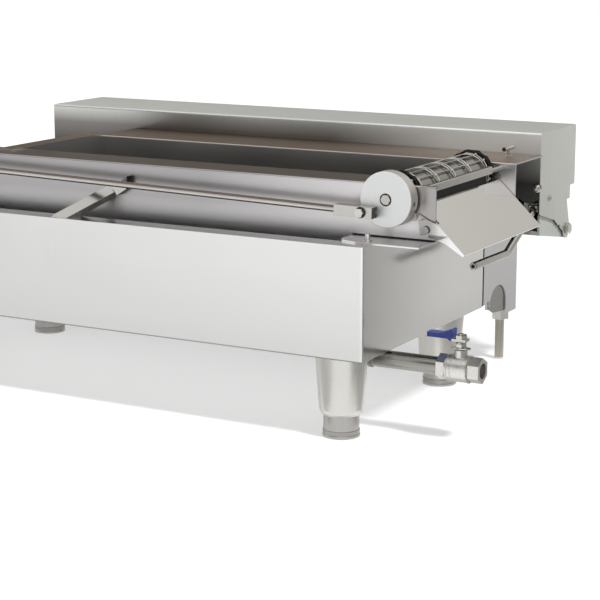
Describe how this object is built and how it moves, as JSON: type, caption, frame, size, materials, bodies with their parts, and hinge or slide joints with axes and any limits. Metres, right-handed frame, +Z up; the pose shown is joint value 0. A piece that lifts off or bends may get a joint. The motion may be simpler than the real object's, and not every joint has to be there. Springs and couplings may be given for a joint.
{
  "type": "donut glazing machine",
  "caption": "Stainless donut glazing machine: dip tank on bullet legs, ladder-chain conveyor with coupling rod drive, discharge chute, ball drain valve and tilting rear housing.",
  "frame": {"origin": "on the floor, under the centre of the overall box", "axes": "+X along the tank towards the discharge end, +Y from the crank side to the rear housing, +Z up"},
  "size_m": [0.841, 0.518, 0.3335],
  "materials": {
    "sheet_steel": "brushed",
    "leg_steel": "satin",
    "cast_steel": "cast",
    "bright_steel": "bright",
    "machined_alloy": "satin",
    "rod_steel": "satin",
    "chain_steel": "oiled",
    "sleeve_blue": "gloss",
    "strip_black": "matte",
    "bearing_plastic": "matte",
    "motor_grey": "satin",
    "bracket_grey": "satin"
  },
  "bodies": {
    "base": {"tank": "sheet_steel", "legs": "leg_steel", "leg_ends": "leg_steel", "drain_pipe": "leg_steel", "valve_body": "cast_steel", "front_rail": "sheet_steel", "rear_rail": "sheet_steel", "trough_lip": "sheet_steel", "rail_tabs": "sheet_steel", "rail_strip": "strip_black", "tab_studs": "bright_steel", "brace_bar": "sheet_steel", "rear_posts": "sheet_steel", "thumb_screw": "bright_steel", "tie_rods": "bright_steel", "wear_strips": "bearing_plastic", "hold_downs": "bearing_plastic", "bushes": "bearing_plastic", "outer_links": "chain_steel", "inner_links": "chain_steel", "cross_rods": "bright_steel", "gearmotor": "motor_grey", "nose_bar": "sheet_steel", "hook_pins": "bright_steel", "pedestal": "sheet_steel", "base_studs": "leg_steel", "hinge_bracket": "bracket_grey", "pivot_bolts": "bright_steel", "lever_pin": "bright_steel", "pump_set": "motor_grey"},
    "head": {"head_shaft": "bright_steel", "head_wheels": "chain_steel", "crank_disc": "machined_alloy", "crank_bolt": "bright_steel"},
    "rod": {"coupling_rod": "rod_steel", "clevises": "rod_steel"},
    "tail": {"tail_shaft": "bright_steel", "tail_wheels": "chain_steel"},
    "drive": {"drive_shaft": "bright_steel", "drive_disc": "machined_alloy", "drive_bolt": "bright_steel"},
    "valve": {"valve_ball": "bright_steel", "valve_handle": "bright_steel", "handle_sleeve": "sleeve_blue"},
    "chute": {"chute": "sheet_steel"},
    "hood": {"housing": "sheet_steel"},
    "lever": {"hand_lever": "bright_steel"}
  },
  "joints": [
    {"name": "head_spin", "type": "hinge", "parent": "base", "child": "head", "pos_m": [0.3113, -0.079, 0.2844], "axis": [0, 1, 0], "continuous": true},
    {"name": "rod_pivot", "type": "hinge", "parent": "head", "child": "rod", "pos_m": [0.2866, -0.224, 0.27], "axis": [0, 1, 0], "continuous": true},
    {"name": "tail_spin", "type": "hinge", "parent": "base", "child": "tail", "pos_m": [-0.22353, -0.079, 0.178], "axis": [0, 1, 0], "continuous": true},
    {"name": "drive_spin", "type": "hinge", "parent": "base", "child": "drive", "pos_m": [-0.3705, -0.207, 0.3008], "axis": [0, 1, 0], "continuous": true},
    {"name": "valve_turn", "type": "hinge", "parent": "base", "child": "valve", "pos_m": [0.3925, -0.179, 0.0875], "axis": [0, 0, 1], "range_deg": [0, 90]},
    {"name": "chute_lift", "type": "slide", "parent": "base", "child": "chute", "axis": [0, 0, 1], "range_m": [0, 0.005]},
    {"name": "hood_tilt", "type": "hinge", "parent": "base", "child": "hood", "pos_m": [-0.0235, 0.232, 0.189], "axis": [-1, 0, 0], "range_deg": [0, 50]},
    {"name": "lever_lift", "type": "hinge", "parent": "base", "child": "lever", "pos_m": [0.3545, 0.143, 0.231], "axis": [-1, 0, 0], "range_deg": [0, 18]}
  ],
  "couplings": [
    {"joint": "rod_pivot", "follows": "head_spin", "ratio": -1},
    {"joint": "tail_spin", "follows": "head_spin", "ratio": 1},
    {"joint": "drive_spin", "follows": "head_spin", "ratio": 1}
  ]
}
